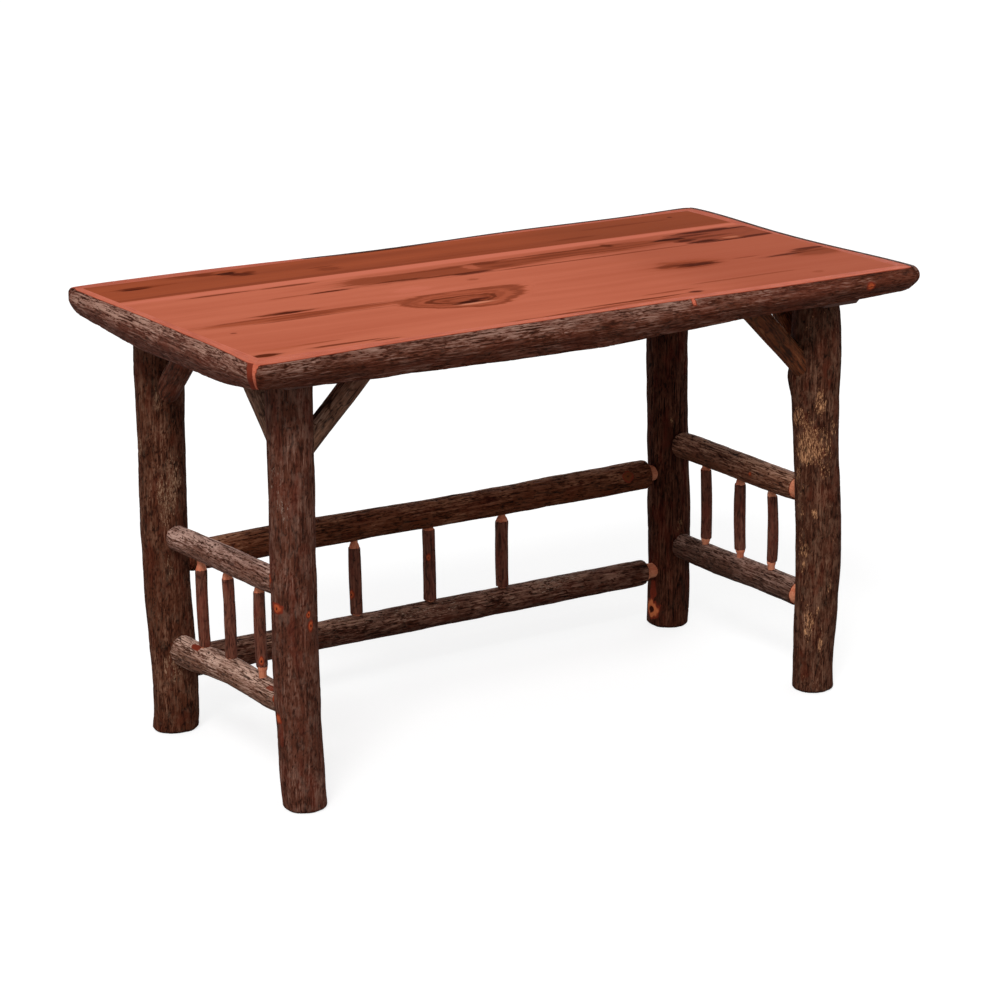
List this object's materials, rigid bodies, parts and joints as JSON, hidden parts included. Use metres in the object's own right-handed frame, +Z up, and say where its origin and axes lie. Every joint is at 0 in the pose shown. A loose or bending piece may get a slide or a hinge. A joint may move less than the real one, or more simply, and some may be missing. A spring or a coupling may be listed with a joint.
{
  "type": "rustic log table",
  "caption": "Rectangular hickory log table: plank top edged with bark half logs, four log legs, spindled side and back rails, angled log braces.",
  "frame": {"origin": "on the floor under the middle of the plank panel, which is within a few millimetres of the middle of the table's box", "axes": "+X along the length to the right seen from the front, +Y from front to back, +Z up; the open front with no rail faces -Y"},
  "size_m": [1.312, 0.669, 0.762],
  "materials": {
    "plank_wood": "satin clear finish over red-brown knotty planks",
    "half_log": "grey-brown bark with a planed bare strip on top",
    "leg_bark": "clear finished rough hickory bark",
    "rail_bark": "clear finished rough hickory bark, bare shaved ends",
    "spindle_bark": "smooth young bark, bare shaved ends",
    "brace_bark": "clear finished hickory bark",
    "cleat_wood": "planed softwood, unfinished",
    "dowel_wood": "turned hardwood",
    "screw_steel": "zinc plated"
  },
  "bodies": {
    "root": {"plank_1": "plank_wood", "plank_2": "plank_wood", "plank_3": "plank_wood", "plank_4": "plank_wood", "plank_5": "plank_wood", "front_half_log": "half_log", "back_half_log": "half_log", "left_half_log": "half_log", "right_half_log": "half_log", "left_cleat": "cleat_wood", "right_cleat": "cleat_wood", "front_left_leg": "leg_bark", "front_right_leg": "leg_bark", "back_left_leg": "leg_bark", "back_right_leg": "leg_bark", "left_upper_rail": "rail_bark", "left_lower_rail": "rail_bark", "right_upper_rail": "rail_bark", "right_lower_rail": "rail_bark", "back_upper_rail": "rail_bark", "back_lower_rail": "rail_bark", "left_spindle_1": "spindle_bark", "left_spindle_2": "spindle_bark", "left_spindle_3": "spindle_bark", "right_spindle_1": "spindle_bark", "right_spindle_2": "spindle_bark", "right_spindle_3": "spindle_bark", "back_spindle_1": "spindle_bark", "back_spindle_2": "spindle_bark", "back_spindle_3": "spindle_bark", "front_left_long_brace": "brace_bark", "front_right_long_brace": "brace_bark", "front_left_end_brace": "brace_bark", "front_right_end_brace": "brace_bark", "back_left_end_brace": "brace_bark", "back_right_end_brace": "brace_bark", "brace_screws": "screw_steel", "cleat_screws": "screw_steel", "trim_dowels": "dowel_wood"}
  },
  "joints": []
}
